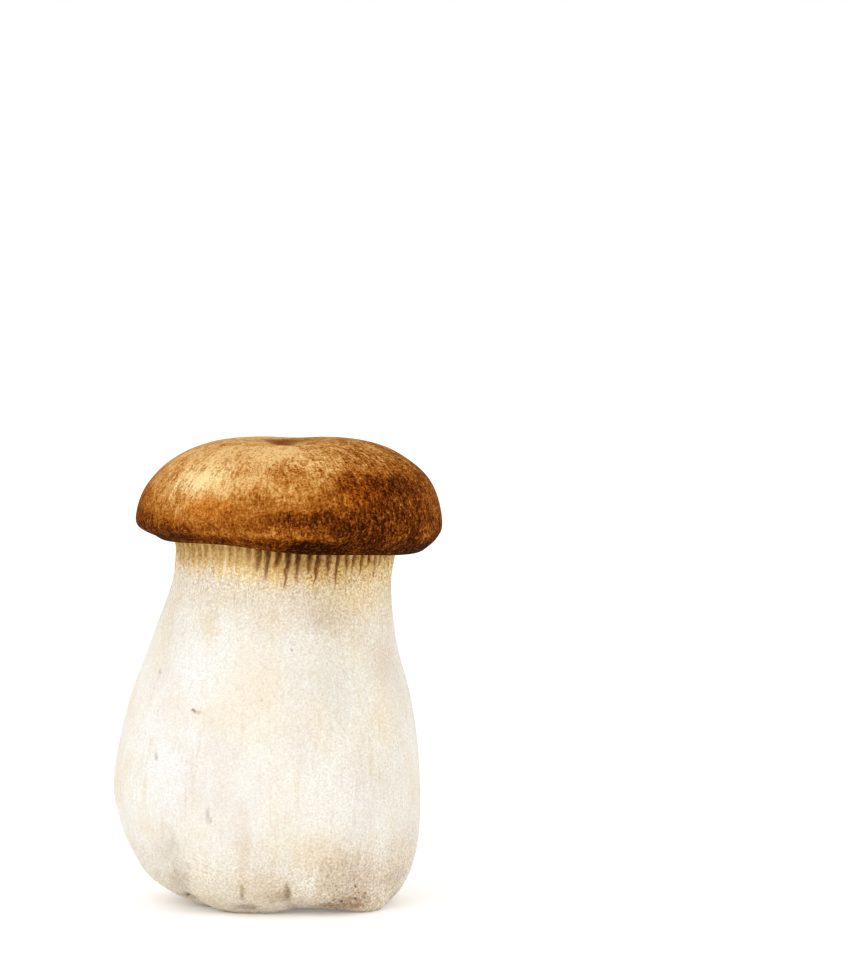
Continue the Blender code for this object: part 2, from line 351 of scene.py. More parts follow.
# Across a gill and its groove: the depth at each of the eight columns, 1 at the bottom. Widths are
# shares of the space from one gill to the next.
column_depths = (-0.06, 0.03, 0.45, 0.9, 1.0, 0.9, 0.45, 0.03)
NARROWEST_HALF = 0.07
WIDENING = 0.20
LIP = 0.06
STEEP_WALL = 0.82
BOTTOM_EDGE = 0.55

# A groove wanders a little on its way down, each in its own manner.
WANDER = 0.11
WANDER_OF_WIDTH = 0.5
WANDER_LENGTH = 1.5 * MM
WANDER_FADE = 2.0 * MM
WANDER_APART = 3.7

# A groove's brown, partly painted shade, stays full until the groove is nearly closed.
GROOVE_BROWN_AND_SHADE_STRENGTH = 4.5


def groove_column(k, step, open_share, height=GROOVE_TOP):
    """Where a column lies across gill k and the groove after it, in gills, and how deep it is."""
    wander = ease((GROOVE_TOP - height) / WANDER_FADE)
    wander *= noise.noise(Vector((WANDER_APART * k, 0.0, height / WANDER_LENGTH)))
    half = (NARROWEST_HALF + WIDENING * open_share) * groove_width[k] * (1 - WANDER_OF_WIDTH * wander)
    centre = groove_centre[k] + groove_drift[k] * (1 - open_share) + WANDER * wander
    places = (
        0.0,
        centre - half - LIP,
        centre - STEEP_WALL * half,
        centre - BOTTOM_EDGE * half,
        centre,
        centre + BOTTOM_EDGE * half,
        centre + STEEP_WALL * half,
        centre + half + LIP,
    )
    return places[step], column_depths[step]


def hanging_gill_point(row, k, step):
    """A point between the margin and the neck, and how far down it is in a groove."""
    place = (row - first_gill_row + 1) / HANGING_GILL_ROWS * (len(gill_edge) - 1)
    even_place = step / COLUMNS_PER_GILL
    across, depth = groove_column(k, step, 1.0)
    across = even_place + (across - even_place) * min(place, 1.0)
    angle = math.tau * (k + across) / GILL_COUNT
    inward, rise = along(gill_edge, place).lerp(along(gill_trough, place), depth) * MM
    on_cap = cap_point(angle, cap_outline[-1], inward, rise)
    on_stem = stem_point(angle, MARGIN_HEIGHT + rise, MARGIN_RADIUS - inward - NECK_RADIUS)
    point = on_stem.lerp(on_cap, 1 - ease((place - 1) / (len(gill_edge) - 2)))
    return point, max(depth, 0.0) * ease(place / 3)


def neck_rib_point(row, k, step):
    """A point on the ribs down the neck, and how far down it is in a groove."""
    place = (row - first_rib_row + 1) / NECK_RIB_ROWS * (len(neck_heights) - 1)
    even_place = step / COLUMNS_PER_GILL
    edge_height, trough_height = (height * MM for height in along(neck_heights, place))
    open_share = ease((trough_height - groove_end[k]) / (GROOVE_TOP - groove_end[k]))
    across, depth = groove_column(k, step, open_share, trough_height)
    across = even_place + (across - even_place) * ease((edge_height - EVEN_BELOW) / EVEN_FADE)
    angle = math.tau * (k + across) / GILL_COUNT
    height = edge_height + (trough_height - edge_height) * max(depth, 0.0)
    point = stem_point(angle, height, -groove_depth[k] * open_share * depth)
    return point, max(depth, 0.0) * min(GROOVE_BROWN_AND_SHADE_STRENGTH * open_share, 1.0)


groove_layer = mushroom.data.attributes.new("groove", "FLOAT", "POINT")
for vertex, row, column, groove in zip(mushroom.data.vertices, rows, columns, groove_layer.data):
    if first_gill_row <= row < first_rib_row:
        vertex.co, groove.value = hanging_gill_point(row, *divmod(column, COLUMNS_PER_GILL))
    if first_rib_row <= row < first_stem_row:
        vertex.co, groove.value = neck_rib_point(row, *divmod(column, COLUMNS_PER_GILL))

for polygon in mushroom.data.polygons:
    polygon.use_smooth = True

# One body, so it stands for the whole solid mushroom.
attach(mushroom, "root")
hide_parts("king_oyster_mushroom")


# The skin of the cap.
# Dry and suede-like, tan on the crown, chestnut to dark brown on the right and round the margin, partly as
# painted shade, with an orange flush and a painted pale highlight on the left. Fine fibres run out over it
# from the crown.


def paint(red, green, blue):
    """A colour as it is named on a screen, from 0 to 255."""
    return tuple(((c / 255 + 0.055) / 1.055)**2.4 if c > 10 else c / 255 / 12.92
                 for c in (red, green, blue)) + (1.0,)


def node(finish, kind, inputs, **settings):
    """A shader node, whose inputs are given by name or number as values or other nodes' outputs."""
    made = finish.node_tree.nodes.new(kind)
    for name, value in settings.items():
        setattr(made, name, value)
    for name, value in inputs.items():
        if isinstance(value, bpy.types.NodeSocket):
            finish.node_tree.links.new(value, made.inputs[name])
        else:
            made.inputs[name].default_value = value
    return made


def work_out(finish, operation, *values):
    """A sum worked through several values in turn."""
    result = values[0]
    for value in values[1:]:
        result = node(finish, "ShaderNodeMath", {0: result, 1: value}, operation=operation).outputs[0]
    return result


def add(finish, *values):
    return work_out(finish, "ADD", *values)


def times(finish, *values):
    return work_out(finish, "MULTIPLY", *values)


def fade(finish, value, start, end, low=0.0, high=1.0):
    """Goes smoothly from low to high as the value goes from start to end."""
    limits = {"Value": value, "From Min": start, "From Max": end, "To Min": low, "To Max": high}
    return node(finish, "ShaderNodeMapRange", limits, interpolation_type="SMOOTHSTEP").outputs[0]


def sway(finish, texture, amount):
    """A pattern, mostly from 0.3 to 0.7, turned into a change of about amount either way."""
    limits = {"Value": texture, "From Min": 0.3, "From Max": 0.7, "To Min": -amount, "To Max": amount}
    return node(finish, "ShaderNodeMapRange", limits, clamp=False).outputs[0]


def mottle(finish, place, size, stretch=(1.0, 1.0, 1.0), detail=3.0, roughness=0.55, shift=0.0):
    """Soft irregular spots about size across, stretched along X, Y and Z."""
    scale = [1 / (size * s) for s in stretch]
    layout = {"Vector": place, "Scale": scale, "Location": (shift,) * 3}
    spread = node(finish, "ShaderNodeMapping", layout).outputs[0]
    spots = {"Vector": spread, "Scale": 1.0, "Detail": detail, "Roughness": roughness}
    return node(finish, "ShaderNodeTexNoise", spots).outputs[0]


def patch(finish, place, centre, size, turn=0.0):
    """How far out a point is in an oval patch: 0 in its middle, 1 at its edge. Sizes in millimetres."""
    layout = {
        "Vector": place,
        "Location": [MM * c for c in centre],
        "Rotation": (0.0, math.radians(turn), 0.0),
        "Scale": [MM * s for s in size],
    }
    within = node(finish, "ShaderNodeMapping", layout, vector_type="TEXTURE").outputs[0]
    return node(finish, "ShaderNodeVectorMath", {0: within}, operation="LENGTH").outputs["Value"]


def blend(finish, share, first, second, kind="MIX"):
    """The first colour with a share of the second laid over it."""
    layers = {0: share, 6: first, 7: second}
    return node(finish, "ShaderNodeMix", layers, data_type="RGBA", blend_type=kind).outputs[2]


def stops(finish, value, colours):
    """A colour that runs through a list of (place, colour)."""
    made = node(finish, "ShaderNodeValToRGB", {0: value})
    made.color_ramp.elements.remove(made.color_ramp.elements[1])
    made.color_ramp.elements[0].position, made.color_ramp.elements[0].color = colours[0]
    for position, colour in colours[1:]:
        made.color_ramp.elements.new(position).color = colour
    return made.outputs[0]


cap_skin = bpy.data.materials.new("cap_skin")
cap_skin.use_nodes = True
skin = cap_skin.node_tree.nodes["Principled BSDF"]
place = node(cap_skin, "ShaderNodeTexCoord", {}).outputs["Object"]
x, y, z = node(cap_skin, "ShaderNodeSeparateXYZ", {0: place}).outputs
down = node(cap_skin, "ShaderNodeAttribute", {}, attribute_name="down").outputs["Fac"]

# Fibres run out from the crown and down the sides.
flat_place = node(cap_skin, "ShaderNodeCombineXYZ", {"X": x, "Y": y, "Z": 0.0}).outputs[0]
heading = node(cap_skin, "ShaderNodeVectorMath", {0: flat_place}, operation="NORMALIZE").outputs[0]
ahead_x, ahead_y, _ = node(cap_skin, "ShaderNodeSeparateXYZ", {0: heading}).outputs
fibre_place = node(cap_skin, "ShaderNodeCombineXYZ", {"X": ahead_x, "Y": ahead_y, "Z": down}).outputs[0]
fibres = mottle(cap_skin, fibre_place, 0.021, (1.0, 1.0, 1.7), 3.0, 0.7)
stipple = mottle(cap_skin, place, 0.38 * MM, detail=2.0, roughness=0.7)
scales = mottle(cap_skin, place, 1.1 * MM, detail=3.0, roughness=0.7)
clouds = mottle(cap_skin, place, 6.0 * MM, detail=4.0, roughness=0.6)
wide_clouds = mottle(cap_skin, place, 19.0 * MM, detail=2.0)
mottles = mottle(cap_skin, place, 2.4 * MM, detail=3.0, roughness=0.6, shift=1.0)

# How dark the skin is, from 0 to 1, partly its own brown and partly painted shade: darker down the shoulder,
# round the margin and to the right, where less light falls, and darker on the far left flank. The far right
# flank is paler, a painted highlight along its rim.
uneven_x = add(cap_skin, x, sway(cap_skin, clouds, 3.5 * MM))
rightness = times(cap_skin, fade(cap_skin, uneven_x, -5.0 * MM, 18.0 * MM),
                  fade(cap_skin, z, 83.5 * MM, 77.5 * MM, 0.30, 0.42))
tone = add(
    cap_skin, 0.23, rightness,
    fade(cap_skin, z, 82.5 * MM, 73.0 * MM, 0.0, 0.18),
    fade(cap_skin, down, 0.58, 0.74, 0.0, 0.17),
    fade(cap_skin, down, 0.75, 0.85, 0.0, 0.30),
    fade(cap_skin, x, -23.5 * MM, -26.8 * MM, 0.0, 0.16),
    fade(cap_skin, x, 24.0 * MM, 27.0 * MM, 0.0, -0.13),
    sway(cap_skin, clouds, 0.09),
    sway(cap_skin, wide_clouds, 0.06),
)

# Darker and paler places, partly the skin's own tone and partly painted shade and painted highlight: middle
# and half size in millimetres, and how much darker, or paler below 0.
tone_shade_and_highlight_places = (
    ((-23.5, -9.5, 69.1), (5.5, 9.0, 3.4), 0.30),
    ((-25.4, -2.0, 76.5), (4.0, 14.0, 6.0), 0.16),
    ((-17.7, -17.5, 68.8), (7.0, 9.0, 1.7), 0.16),
    ((-5.2, -24.5, 70.8), (11.0, 9.0, 2.2), 0.12),
    ((3.6, -25.6, 71.5), (7.5, 9.0, 1.9), 0.27),
    ((-8.2, -23.8, 72.7), (2.6, 8.0, 1.3), 0.10),
    ((14.7, -22.0, 69.2), (11.0, 9.0, 3.0), 0.05),
    ((18.2, -19.0, 76.3), (3.2, 8.0, 2.2), 0.15),
    ((20.9, -14.7, 76.6), (3.6, 8.0, 2.8), 0.20),
    ((11.3, -21.3, 77.3), (2.4, 8.0, 1.6), 0.12),
    ((-7.5, -17.4, 80.6), (2.6, 8.0, 1.7), 0.10),
    ((-3.3, -25.6, 68.5), (5.0, 9.0, 0.8), -0.16),
    ((6.3, -25.2, 67.9), (6.0, 9.0, 0.8), -0.14),
    ((-2.6, -15.0, 82.3), (11.0, 12.0, 2.0), -0.14),
    ((5.0, -22.0, 78.2), (4.5, 9.0, 3.2), -0.11),
    ((2.4, -18.0, 81.1), (4.5, 9.0, 2.2), -0.12),
    ((-12.6, -19.5, 77.8), (2.6, 8.0, 2.4), -0.10),
    ((8.1, -20.1, 79.9), (4.0, 8.0, 1.7), -0.16),
    ((-6.4, -22.4, 76.7), (4.0, 8.0, 2.2), -0.15),
    ((-13.5, -13.0, 80.5), (9.0, 9.0, 2.6), -0.10),
    ((-14.2, -18.0, 76.0), (9.0, 9.0, 3.0), -0.10),
    ((-4.4, -22.6, 74.6), (4.0, 8.0, 2.6), 0.12),
    ((5.4, -23.5, 66.2), (4.6, 9.0, 1.5), 0.45),
    ((-18.5, -14.0, 67.4), (5.0, 9.0, 1.2), 0.12),
    ((17.0, -16.0, 67.6), (9.0, 9.0, 3.4), -0.17),
    ((12.2, -13.0, 81.0), (3.6, 9.0, 1.9), -0.10),
    ((16.0, -14.5, 79.0), (3.6, 8.0, 1.9), -0.15),
    ((-22.0, -12.0, 75.9), (3.6, 9.0, 3.2), -0.09),
    ((9.0, -22.0, 70.6), (4.5, 9.0, 1.4), 0.05),
    ((23.3, -11.0, 70.2), (2.6, 8.0, 2.4), 0.12),
    ((16.5, -16.0, 65.6), (7.5, 9.0, 2.0), -0.22),
    ((23.3, -10.0, 66.5), (3.4, 8.0, 2.4), -0.15),
    ((-19.6, -15.0, 70.2), (2.6, 8.0, 2.0), 0.07),
    ((-16.9, -17.0, 67.9), (2.6, 8.0, 1.9), 0.07),
    ((-11.6, -20.5, 73.6), (1.8, 8.0, 1.6), 0.08),
    ((18.2, -15.5, 72.4), (3.2, 8.0, 3.2), 0.09),
    ((12.6, -19.5, 73.0), (2.6, 8.0, 2.0), 0.04),
    ((7.2, -15.0, 81.0), (2.3, 9.0, 1.8), 0.15),
    ((21.0, -9.0, 77.9), (3.4, 9.0, 2.2), -0.10),
    ((15.3, -18.5, 75.9), (1.8, 8.0, 2.0), -0.10),
    ((-7.6, -22.0, 70.9), (3.2, 8.0, 1.6), 0.06),
    ((1.9, -24.0, 70.9), (2.3, 8.0, 1.5), 0.08),
    ((10.8, -21.0, 67.6), (4.6, 9.0, 2.2), -0.11),
)
for centre, size, amount in tone_shade_and_highlight_places:
    reach = add(cap_skin, patch(cap_skin, place, centre, size),
                sway(cap_skin, clouds, 0.25), sway(cap_skin, scales, 0.15))
    tone = add(cap_skin, tone, fade(cap_skin, reach, 1.35, 0.15, 0.0, amount))

# A grain of fibres and flecks, stronger on the dark skin, on the crown and to the right.
skin_grain = add(cap_skin, sway(cap_skin, scales, 0.12), sway(cap_skin, fibres, 0.14),
                 sway(cap_skin, stipple, 0.20), sway(cap_skin, mottles, 0.08))
skin_grain = times(cap_skin, skin_grain, fade(cap_skin, tone, 0.5, 1.0, 1.0, 1.5),
                   fade(cap_skin, z, 77.0 * MM, 81.5 * MM, 1.0, 1.40),
                   fade(cap_skin, x, 6.0 * MM, 15.0 * MM, 1.0, 1.12))
tone = add(cap_skin, tone, skin_grain)
skin_colour = stops(cap_skin, times(cap_skin, tone, 0.85), (
    (0.0, paint(224, 186, 126)),
    (0.17, paint(206, 158, 93)),
    (0.34, paint(178, 117, 50)),
    (0.51, paint(143, 80, 20)),
    (0.68, paint(101, 47, 7)),
    (0.84, paint(66, 25, 2)),
    (1.0, paint(38, 12, 0)),
))

# Chestnut flecks, and an orange flush low on the left with a weaker one on the right.
flecks = mottle(cap_skin, place, 0.5 * MM, (1.0, 1.0, 1.4), 2.0, 0.7, 5.0)
fleck_share = fade(cap_skin, flecks, 0.52, 0.68, 0.0, 0.38)
skin_colour = blend(cap_skin, fleck_share, skin_colour, paint(158, 90, 28))
flushes = (
    ((-12.6, -21.5, 73.0), (6.5, 8.0, 2.3), 0.75),
    ((14.7, -20.0, 76.0), (5.5, 8.0, 3.6), 0.60),
)
for centre, size, amount in flushes:
    reach = add(cap_skin, patch(cap_skin, place, centre, size), sway(cap_skin, scales, 0.3))
    flush = fade(cap_skin, reach, 1.3, 0.2, 0.0, amount)
    skin_colour = blend(cap_skin, flush, skin_colour, paint(255, 222, 160), "MULTIPLY")

# A painted highlight on the upper left, a pale patch streaked the way the fibres lie.
highlight_streaks = mottle(cap_skin, fibre_place, 0.05, (1.0, 1.0, 5.0), 3.0, 0.65, 3.0)
highlight_patch = patch(cap_skin, place, (-14.5, -16.5, 77.7), (4.7, 9.0, 2.0), -16.0)
highlight_patch = add(cap_skin, highlight_patch, sway(cap_skin, highlight_streaks, 0.5), sway(cap_skin, fibres, 0.35),
            sway(cap_skin, stipple, 0.35))
highlight_share = times(cap_skin, fade(cap_skin, highlight_patch, 1.4, 0.25, 0.0, 0.95),
                fade(cap_skin, stipple, 0.3, 0.7, 1.0, 0.7))
skin_colour = blend(cap_skin, highlight_share, skin_colour, paint(238, 214, 156))

# Paler flecks on the right flank, a painted highlight along the rim; painted shade in the pit in the crown;
# and a grey fleck on the left.
rim_highlight_place = patch(cap_skin, place, (28.0, 1.0, 76.0), (6.0, 8.0, 9.0))
rim_highlight = times(cap_skin, fade(cap_skin, rim_highlight_place, 1.1, 0.4), fade(cap_skin, fibres, 0.44, 0.62),
             fade(cap_skin, clouds, 0.35, 0.6, 0.4, 1.0), 0.4)
skin_colour = blend(cap_skin, rim_highlight, skin_colour, paint(190, 124, 58))
pit_shade_and_skin_marks = (
    # The first two are painted shade in the pit in the crown.
    ((-0.7, 2.2, 83.3), (3.4, 2.3, 3.0), paint(112, 56, 10), 0.8),
    ((3.9, 2.4, 83.4), (3.2, 1.6, 3.0), paint(130, 78, 30), 0.4),
    ((-9.8, -14.5, 80.9), (0.5, 3.0, 0.45), paint(112, 96, 72), 0.75),
)
for centre, size, colour, amount in pit_shade_and_skin_marks:
    reach = add(cap_skin, patch(cap_skin, place, centre, size), sway(cap_skin, scales, 0.2))
    skin_colour = blend(cap_skin, fade(cap_skin, reach, 1.25, 0.35, 0.0, amount), skin_colour, colour)

skin_relief = add(cap_skin, times(cap_skin, stipple, 0.6), scales, times(cap_skin, fibres, 0.7))
skin_bump = node(cap_skin, "ShaderNodeBump",
                 {"Strength": 0.8, "Distance": 0.35 * MM, "Height": skin_relief}).outputs[0]
cap_skin.node_tree.links.new(skin_colour, skin.inputs["Base Color"])
cap_skin.node_tree.links.new(skin_bump, skin.inputs["Normal"])
cap_skin.node_tree.links.new(fade(cap_skin, scales, 0.3, 0.7, 0.70, 0.88), skin.inputs["Roughness"])
skin.inputs["Specular IOR Level"].default_value = 0.01


# The bare flesh of the stem and the gills.
# Cream-white and finely fibrous, with painted highlights on the left and painted shade right of the middle,
# straw-yellow towards the gills and brown in the grooves between them, partly painted shade in the grooves.
# Nicks have browned on the left, and the foot is soiled where it stood in its growing block.

flesh = bpy.data.materials.new("stem_flesh")
flesh.use_nodes = True
bare = flesh.node_tree.nodes["Principled BSDF"]
place = node(flesh, "ShaderNodeTexCoord", {}).outputs["Object"]
x, y, z = node(flesh, "ShaderNodeSeparateXYZ", {0: place}).outputs
groove = node(flesh, "ShaderNodeAttribute", {}, attribute_name="groove").outputs["Fac"]

long_fibres = mottle(flesh, place, 0.8 * MM, (1.0, 1.0, 14.0), 3.0, 0.6)
coarse_fibres = mottle(flesh, place, 2.2 * MM, (1.0, 1.0, 7.0), 3.0, 0.6)
gill_fibres = mottle(flesh, place, 0.42 * MM, (1.0, 1.0, 7.0), 2.0, 0.65)
hairlines = mottle(flesh, place, 0.32 * MM, (1.0, 1.0, 24.0), 1.0, 0.5, 6.0)
tooth = mottle(flesh, place, 0.6 * MM, (1.0, 1.0, 1.2), 2.0, 0.7)
grit = mottle(flesh, place, 1.2 * MM, detail=4.0, roughness=0.75, shift=2.0)
grain = mottle(flesh, place, 0.40 * MM, detail=2.0, roughness=0.7, shift=4.0)
warm_clouds = mottle(flesh, place, 7.0 * MM, (1.0, 1.0, 1.6), 4.0, 0.6)
grey_clouds = mottle(flesh, place, 13.0 * MM, (1.0, 1.0, 1.6), 3.0, 0.5, 0.7)

warm_share = fade(flesh, warm_clouds, 0.36, 0.66, 0.0, 0.75)
flesh_colour = blend(flesh, warm_share, paint(229, 226, 217), paint(224, 213, 193))
grey_share = fade(flesh, grey_clouds, 0.45, 0.66, 0.0, 0.5)
flesh_colour = blend(flesh, grey_share, flesh_colour, paint(218, 210, 205))

# Broad places: middle and half size in millimetres, colour and strength. The pale ones on the left are
# painted highlights, and the greyish ones right of the middle and at the lower right edge are painted shade.
highlight_shade_and_tint_places = (
    # Painted highlights on the lit left side.
    ((-15.3, -17.0, 45.6), (6.5, 9.0, 8.0), paint(229, 227, 221), 0.85),
    ((-18.2, -18.0, 26.0), (8.0, 9.0, 15.0), paint(230, 230, 229), 0.9),
    ((-4.2, -24.0, 40.5), (6.5, 9.0, 8.0), paint(224, 208, 183), 0.45),
    # Painted shade, greyish, right of the middle.
    ((8.0, -21.0, 41.5), (7.0, 9.0, 11.0), paint(213, 205, 193), 0.70),
    ((18.1, -14.0, 35.1), (3.2, 8.0, 6.5), paint(232, 212, 178), 0.40),
    ((17.6, -10.5, 45.3), (3.5, 9.0, 6.5), paint(212, 190, 160), 0.50),
    ((11.7, -15.5, 49.9), (5.5, 8.0, 4.8), paint(212, 196, 176), 0.50),
    ((7.4, -23.0, 18.5), (8.0, 9.0, 9.0), paint(227, 221, 212), 0.55),
    ((9.0, -18.0, 56.7), (7.6, 8.0, 6.4), paint(184, 162, 131), 0.75),
    ((-13.0, -17.5, 51.5), (1.6, 8.0, 3.4), paint(212, 190, 150), 0.45),
    ((4.0, -22.5, 13.0), (13.0, 9.0, 3.6), paint(208, 186, 148), 0.25),
    # Painted shade along the right edge of the foot.
    ((21.8, -10.0, 9.5), (3.4, 10.0, 7.5), paint(200, 182, 162), 0.45),
    ((19.0, -5.0, 57.0), (2.2, 12.0, 7.0), paint(206, 182, 144), 0.45),
)
for centre, size, colour, amount in highlight_shade_and_tint_places:
    reach = add(flesh, patch(flesh, place, centre, size), sway(flesh, warm_clouds, 0.35),
                sway(flesh, grit, 0.25))
    flesh_colour = blend(flesh, fade(flesh, reach, 1.35, 0.1, 0.0, amount), flesh_colour, colour)

# The neck turns buff, more so on the right, with a yellow place there.
neck_height = add(flesh, z, sway(flesh, warm_clouds, 3.0 * MM))
neck = times(flesh, fade(flesh, neck_height, 47.0 * MM, 58.5 * MM, 0.0, 0.65),
             fade(flesh, x, -16.0 * MM, 2.0 * MM, 0.6, 1.0))
flesh_colour = blend(flesh, neck, flesh_colour, paint(216, 199, 168))
yellow = add(flesh, patch(flesh, place, (14.6, -12.0, 56.8), (5.5, 9.0, 5.0)),
             sway(flesh, warm_clouds, 0.5), sway(flesh, grit, 0.4))
yellow_share = fade(flesh, yellow, 1.4, 0.1, 0.0, 0.42)
flesh_colour = blend(flesh, yellow_share, flesh_colour, paint(228, 198, 136))

# Straw-yellow under the cap, ragged where it fades, then ochre. Right of the middle it is deeper and reaches
# lower: painted shade under the cap.
ragged_height = add(flesh, z, sway(flesh, coarse_fibres, 1.2 * MM), sway(flesh, tooth, 1.0 * MM),
                    sway(flesh, grit, 0.8 * MM))
from_shaded_side = work_out(flesh, "ABSOLUTE", work_out(flesh, "SUBTRACT", x, 6.5 * MM), 0.0)
shaded_side = fade(flesh, from_shaded_side, 14.5 * MM, 7.0 * MM, 0.15, 1.0)
straw_height = add(flesh, ragged_height, times(flesh, shaded_side, 0.9 * MM),
                   fade(flesh, x, -7.0 * MM, -16.0 * MM, 0.0, -1.6 * MM))
straw = fade(flesh, straw_height, 57.6 * MM, 64.0 * MM, 0.0, 0.90)
straw_colour = blend(flesh, shaded_side, paint(243, 214, 152), paint(226, 190, 118))
flesh_colour = blend(flesh, straw, flesh_colour, straw_colour)
ochre = fade(flesh, ragged_height, 60.8 * MM, 64.8 * MM, 0.0, 0.72)
flesh_colour = blend(flesh, ochre, flesh_colour, paint(180, 134, 56))

# Brown hairlines down the neck, and finer ones between the gills.
hairline_share = times(flesh, fade(flesh, hairlines, 0.60, 0.68, 0.0, 0.38),
                       fade(flesh, z, 51.0 * MM, 57.5 * MM))
flesh_colour = blend(flesh, hairline_share, flesh_colour, paint(168, 134, 92))
fibre_brown = times(flesh, fade(flesh, gill_fibres, 0.46, 0.66, 0.0, 0.5), straw)
flesh_colour = blend(flesh, fibre_brown, flesh_colour, paint(180, 130, 52))

# Painted shade close under the margin, brown in the grooves, with an olive place of painted shade in the
# middle, and painted highlights on the rib crests.
in_groove = add(flesh, groove, sway(flesh, grit, 0.20), sway(flesh, grain, 0.20))
gritty_height = add(flesh, z, sway(flesh, grit, 1.6 * MM))
brown_shade_under_margin = times(flesh, shaded_side, fade(flesh, in_groove, -0.1, 0.45, 0.45, 1.0),
                     fade(flesh, gritty_height, 58.6 * MM, 63.0 * MM, 0.0, 0.80))
flesh_colour = blend(flesh, brown_shade_under_margin, flesh_colour, paint(160, 106, 26))
olive_shade = add(flesh, patch(flesh, place, (5.0, -18.0, 63.2), (6.0, 8.0, 2.4)), sway(flesh, grit, 0.3),
            sway(flesh, grain, 0.2))
flesh_colour = blend(flesh, fade(flesh, olive_shade, 1.3, 0.2, 0.0, 0.72), flesh_colour, paint(136, 94, 30))
crest_highlight = times(flesh, fade(flesh, in_groove, 0.12, -0.08, 0.0, 0.40), straw,
              fade(flesh, z, 58.0 * MM, 61.5 * MM))
flesh_colour = blend(flesh, crest_highlight, flesh_colour, paint(246, 218, 146))

# The grooves are lightened on the left, a painted light against their shade, and brown to nearly black right
# of the middle, partly painted shade in them.
patchy = fade(flesh, coarse_fibres, 0.36, 0.58, 0.5, 1.0)
groove_painted_light = times(flesh, fade(flesh, in_groove, 0.2, 0.8, 0.0, 0.6), fade(flesh, shaded_side, 0.7, 0.15))
flesh_colour = blend(flesh, groove_painted_light, flesh_colour, paint(255, 226, 150))
brown_side = add(flesh, patch(flesh, place, (10.4, -17.5, 60.2), (3.0, 8.0, 2.8)),
                 sway(flesh, grit, 0.3))
brown_side_share = fade(flesh, brown_side, 1.3, 0.2, 0.0, 0.35)
flesh_colour = blend(flesh, brown_side_share, flesh_colour, paint(184, 146, 84))
groove_brown_and_shade = times(flesh, fade(flesh, in_groove, 0.3, 0.9, 0.0, 0.9), patchy,
                     fade(flesh, shaded_side, 0.15, 1.0, 0.16, 1.0))
flesh_colour = blend(flesh, groove_brown_and_shade, flesh_colour, paint(154, 98, 26))
deep_groove_shade = times(flesh, fade(flesh, in_groove, 0.5, 1.0), fade(flesh, z, 60.0 * MM, 64.5 * MM, 0.0, 0.75),
             shaded_side)
flesh_colour = blend(flesh, deep_groove_shade, flesh_colour, paint(84, 40, 2))

# The soiled foot: a buff stain, then smudges given as the broad places above are. Those along the creases on
# the left and in front are painted shade in the creases as well as soil.
low_height = add(flesh, z, sway(flesh, warm_clouds, 4.0 * MM), sway(flesh, coarse_fibres, 2.0 * MM),
                 sway(flesh, grit, 2.5 * MM))
foot_stain = fade(flesh, low_height, 12.5 * MM, -1.0 * MM, 0.0, 0.38)
flesh_colour = blend(flesh, foot_stain, flesh_colour, paint(206, 182, 142))
smudges_and_crease_shade = (
    # These four lie along the crease on the lower left: soil and painted shade in the crease.
    ((-20.0, -17.5, 12.4), (2.7, 9.0, 4.6), paint(184, 167, 150), 0.5),
    ((-18.2, -16.0, 6.3), (2.2, 9.0, 3.4), paint(154, 130, 104), 0.56),
    ((-17.0, -12.0, 2.7), (2.0, 8.0, 1.0), paint(120, 90, 60), 0.64),
    ((-12.0, -17.0, 2.4), (3.2, 8.0, 1.5), paint(184, 160, 130), 0.3),
    # These four are painted shade in the two front creases.
    ((-7.2, -21.0, 4.4), (0.45, 6.0, 2.0), paint(124, 98, 70), 0.9),
    ((-6.8, -17.6, 1.6), (2.6, 6.0, 0.7), paint(130, 104, 78), 0.8),
    ((0.8, -20.5, 4.6), (0.8, 6.0, 2.2), paint(112, 86, 62), 0.95),
    ((-1.4, -20.0, 3.8), (2.8, 6.0, 1.5), paint(164, 136, 100), 0.6),
    ((-4.0, -21.5, 6.2), (5.5, 9.0, 3.4), paint(204, 178, 134), 0.45),
    ((7.0, -22.0, 10.3), (6.5, 9.0, 4.0), paint(208, 180, 134), 0.36),
    ((-6.8, -24.0, 12.2), (1.6, 9.0, 6.0), paint(206, 184, 146), 0.4),
    ((11.5, -18.0, 6.0), (6.4, 9.0, 6.0), paint(172, 144, 108), 0.6),
    ((12.5, -17.0, 2.4), (5.0, 9.0, 1.6), paint(136, 102, 64), 0.75),
    ((17.6, -14.0, 8.0), (4.5, 8.0, 6.5), paint(205, 186, 163), 0.6),
    ((20.2, -9.5, 5.4), (2.6, 7.0, 2.6), paint(176, 158, 142), 0.5),
    ((9.5, -18.0, 1.6), (4.0, 8.0, 0.9), paint(140, 104, 62), 0.5),
)
for centre, size, colour, amount in smudges_and_crease_shade:
    reach = add(flesh, patch(flesh, place, centre, size), sway(flesh, coarse_fibres, 0.35),
                sway(flesh, long_fibres, 0.2), sway(flesh, grit, 0.2))
    share = times(flesh, fade(flesh, reach, 1.35, 0.25, 0.0, amount),
                  fade(flesh, grit, 0.36, 0.62, 0.5, 1.15))
    flesh_colour = blend(flesh, share, flesh_colour, colour)

